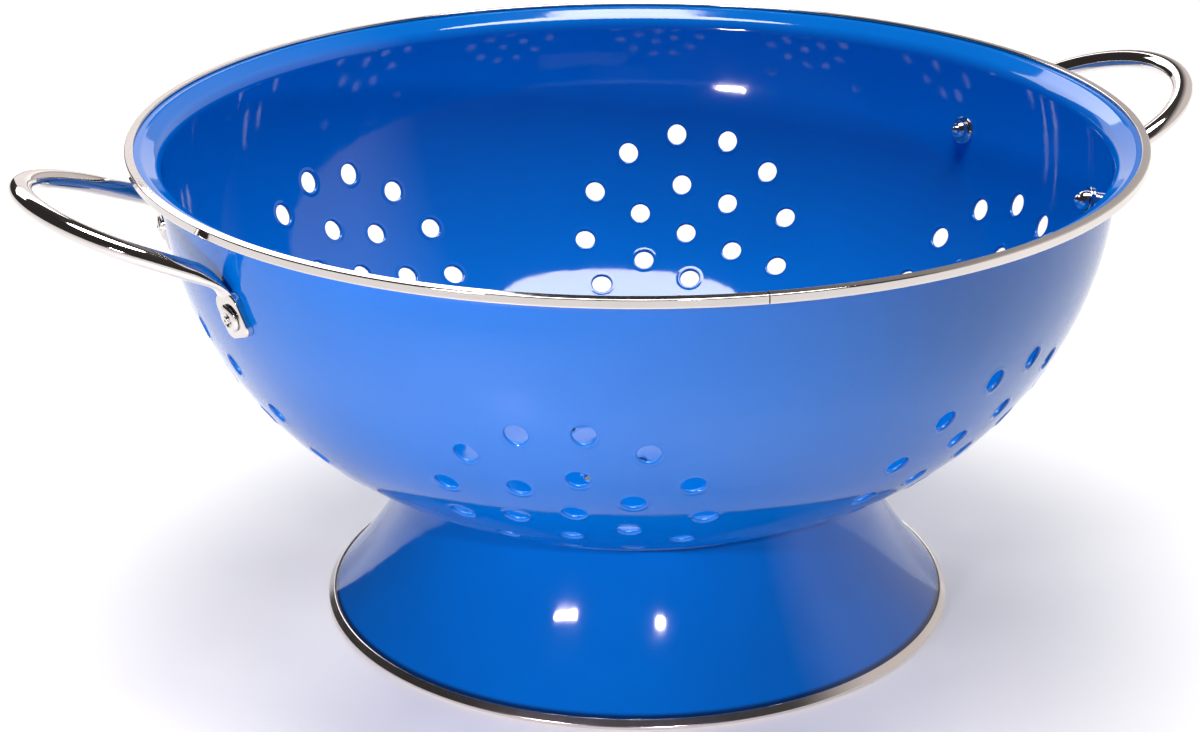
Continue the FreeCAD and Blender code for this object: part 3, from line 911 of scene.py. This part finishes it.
def pale_floor():
    """A plain pale table. Its glow is seen by the camera, in metal and through glass, and lights nothing."""
    material, nodes, links, shader = new_material("pale_floor")
    shader.inputs["Base Color"].default_value = (floor_tone, floor_tone, floor_tone, 1)
    shader.inputs["Emission Color"].default_value = (floor_tone, floor_tone, floor_tone, 1)
    shader.inputs["Roughness"].default_value = floor_roughness
    seen = nodes.new("ShaderNodeLightPath")
    glow = nodes.new("ShaderNodeMath")
    glow.operation = "ADD"
    mirrored_glow = nodes.new("ShaderNodeMath")
    mirrored_glow.operation = "ADD"
    strength = nodes.new("ShaderNodeMath")
    strength.operation = "MULTIPLY"
    strength.use_clamp = True
    strength.inputs[1].default_value = floor_glow
    links.new(seen.outputs["Is Camera Ray"], glow.inputs[0])
    links.new(seen.outputs["Is Glossy Ray"], glow.inputs[1])
    links.new(glow.outputs["Value"], mirrored_glow.inputs[0])
    links.new(seen.outputs["Is Transmission Ray"], mirrored_glow.inputs[1])
    links.new(mirrored_glow.outputs["Value"], strength.inputs[0])
    links.new(strength.outputs["Value"], shader.inputs["Emission Strength"])
    return material


floor_mesh = bpy.data.meshes.new("table_top")
floor_corners = [(-floor_size, -floor_size, 0), (floor_size, -floor_size, 0),
                 (floor_size, floor_size, 0), (-floor_size, floor_size, 0)]
floor_mesh.from_pydata(floor_corners, [], [(0, 1, 2, 3)])
table_top = bpy.data.objects.new("table_top", floor_mesh)
table_top.location.z = -floor_drop
bpy.context.scene.collection.objects.link(table_top)
table_top.data.materials.append(pale_floor())


def lamp(name, kind, place, turn, power, colour, **shape):
    """A lamp of one of Blender's kinds; shape holds the sizes that the kind has."""
    light = bpy.data.lights.new(name, kind)
    light.energy = power
    light.color = colour
    for size_name, size in shape.items():
        setattr(light, size_name, size)
    holder = bpy.data.objects.new(name, light)
    holder.location = place
    holder.rotation_euler = turn
    bpy.context.scene.collection.objects.link(holder)


def facing(place, aim):
    """The turn of a lamp that stands at a place and shines at an aim, with its long side level."""
    return (Vector(place) - Vector(aim)).to_track_quat("Z", "Y").to_euler()


overhead_place = (0.2975, 0.0975, 4.0)
lamp("overhead", "AREA", overhead_place, (0, 0, view_azimuth - math.pi / 2),
     power=170.0, colour=(1.0, 0.98, 0.98), shape="ELLIPSE", size=2.9, size_y=2.0)
bowl_middle = (0.0, 0.0, 0.08)
back_place = (-0.319, 2.597, 1.608)
lamp("back", "AREA", back_place, facing(back_place, bowl_middle),
     power=21.0, colour=(1.0, 0.98, 0.97), shape="RECTANGLE", size=2.25, size_y=0.92)
far_wall_place = (0.640, 2.887, 0.648)
lamp("far_wall", "AREA", far_wall_place, facing(far_wall_place, bowl_middle),
     power=4.7, colour=(1.0, 0.94, 0.92), shape="RECTANGLE", size=1.55, size_y=1.03)
small_lamp_colour = (1.0, 0.88, 0.97)
near_left_place = (-0.256, -0.212, 0.163)
lamp("near_left", "AREA", near_left_place, facing(near_left_place, bowl_middle),
     power=0.40, colour=small_lamp_colour, shape="RECTANGLE", size=0.048, size_y=0.007)
near_camera_place = (-0.14, -0.661, 0.379)
foot_front = (-0.02, -0.08, 0.02)
lamp("near_camera", "SPOT", near_camera_place, facing(near_camera_place, foot_front),
     power=6.0, colour=small_lamp_colour, shadow_soft_size=0.018, spot_size=math.radians(20), spot_blend=0.8)

world = bpy.data.worlds.new("room")
bpy.context.scene.world = world
world.use_nodes = True
sky_nodes, sky_links = world.node_tree.nodes, world.node_tree.links
sky_way = sky_nodes.new("ShaderNodeTexCoord")
sky_turn = sky_nodes.new("ShaderNodeMapping")
sky_turn.inputs["Rotation"].default_value = (0, 0, -pale_azimuth)
sky_parts = sky_nodes.new("ShaderNodeSeparateXYZ")
wall_place = sky_nodes.new("ShaderNodeMapRange")
wall_place.inputs["From Min"].default_value = -1.0
wall_place.inputs["From Max"].default_value = 1.0
wall_ramp = sky_nodes.new("ShaderNodeValToRGB")
dark_wall, pale_wall = wall_ramp.color_ramp.elements
dark_wall.position = 0.40
dark_wall.color = (0.03, 0.028, 0.027, 1)
pale_wall.position = 0.88
pale_wall.color = (0.70, 0.64, 0.615, 1)
side_wall = wall_ramp.color_ramp.elements.new(0.74)
side_wall.color = (0.05, 0.047, 0.045, 1)
sky_links.new(sky_way.outputs["Generated"], sky_turn.inputs["Vector"])
sky_links.new(sky_turn.outputs["Vector"], sky_parts.inputs["Vector"])
sky_links.new(sky_parts.outputs["X"], wall_place.inputs["Value"])
sky_links.new(wall_place.outputs["Result"], wall_ramp.inputs["Fac"])
sky_links.new(wall_ramp.outputs["Color"], sky_nodes["Background"].inputs["Color"])


# Camera
# A long lens that looks down into the bowl, in the place that the photograph was taken from. Its
# shift sets the object in the frame as the photograph has it.

camera_data = bpy.data.cameras.new("camera")
camera_data.lens = 81.267
camera_data.sensor_width = 36.0
camera_data.shift_x = -0.03044
camera_data.shift_y = 0.00296
camera = bpy.data.objects.new("camera", camera_data)
camera.location = (-0.26602, -0.66994, 0.35379)
camera.rotation_euler = (math.radians(68.307), 0.0, math.radians(-21.636))
bpy.context.scene.collection.objects.link(camera)
bpy.context.scene.camera = camera
bpy.context.scene.view_settings.view_transform = "Standard"
